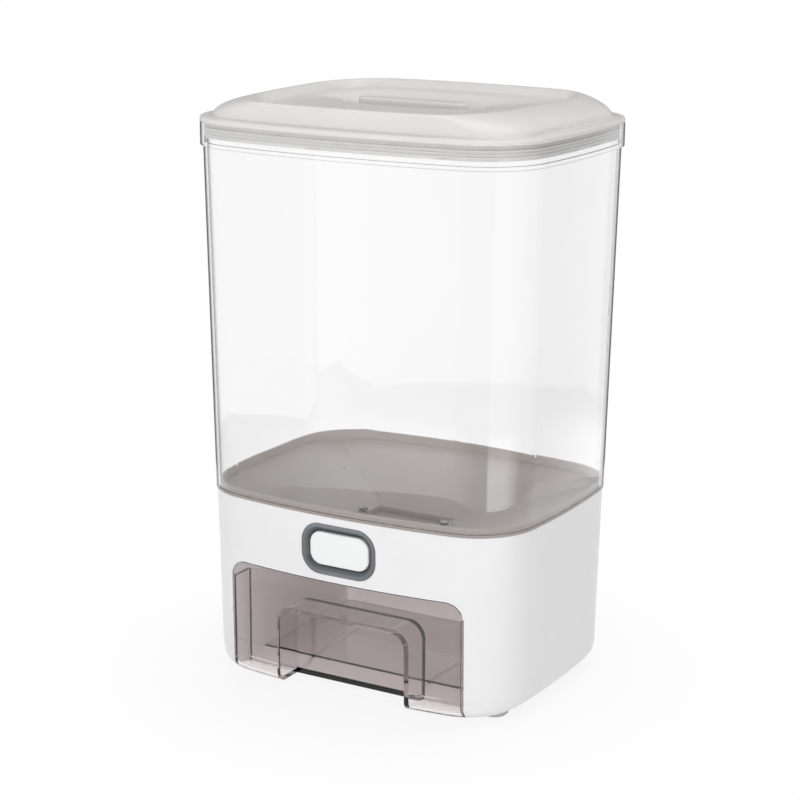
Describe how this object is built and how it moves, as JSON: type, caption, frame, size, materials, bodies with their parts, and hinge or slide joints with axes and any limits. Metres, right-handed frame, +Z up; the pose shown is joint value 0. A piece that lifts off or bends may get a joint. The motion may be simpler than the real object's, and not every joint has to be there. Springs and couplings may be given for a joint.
{
  "type": "rice dispenser with drawer",
  "caption": "Clear tapered grain bin with a lift-off lid on a white base: a push button slides a gate open and rice falls into a pull-out smoked drawer with a finger recess.",
  "frame": {"origin": "on the surface it stands on, under the middle of the lid's outline", "axes": "+Z up, -Y towards the front with the drawer and the button, +X to the right as seen by someone who faces the front"},
  "size_m": [0.2376, 0.1864, 0.366],
  "materials": {
    "white_body": "satin gloss",
    "white_inner": "satin",
    "white_lid": "satin gloss",
    "button_white": "satin gloss",
    "grey_bezel": "satin gloss",
    "clear_plastic": "clear gloss",
    "smoked_plastic": "smoked gloss",
    "gasket_rubber": "matte",
    "foot_rubber": "matte",
    "spring_steel": "drawn wire",
    "screw_steel": "zinc plated"
  },
  "bodies": {
    "dispenser": {"base_housing": "white_body", "base_plate": "white_inner", "drawer_bay_chassis": "white_inner", "hopper": "smoked_plastic", "outlet_plate": "smoked_plastic", "gate_frame": "white_inner", "gate_spring_left": "spring_steel", "gate_spring_right": "spring_steel", "chute": "white_inner", "button_bezel": "grey_bezel", "bin": "clear_plastic", "foot_front_left": "foot_rubber", "foot_front_right": "foot_rubber", "foot_rear_left": "foot_rubber", "foot_rear_right": "foot_rubber", "hopper_screws": "screw_steel", "plate_screws": "screw_steel", "chassis_screws": "screw_steel", "frame_screws": "screw_steel", "outlet_screws": "screw_steel"},
    "lid_body": {"lid": "white_lid", "lid_gasket": "gasket_rubber"},
    "drawer_body": {"drawer": "smoked_plastic"},
    "push_body": {"button": "button_white", "gate_slide": "smoked_plastic"}
  },
  "joints": [
    {"name": "lid_lift", "type": "slide", "parent": "dispenser", "child": "lid_body", "axis": [0, 0, 1], "range_m": [0, 0.06]},
    {"name": "drawer_slide", "type": "slide", "parent": "dispenser", "child": "drawer_body", "axis": [0, -1, 0], "range_m": [0, 0.11]},
    {"name": "button_press", "type": "slide", "parent": "dispenser", "child": "push_body", "axis": [0, 1, 0], "range_m": [0, 0.012], "stiffness_N_per_m": 500, "springref_m": -0.004, "deforming": ["gate_spring_left", "gate_spring_right"]}
  ]
}
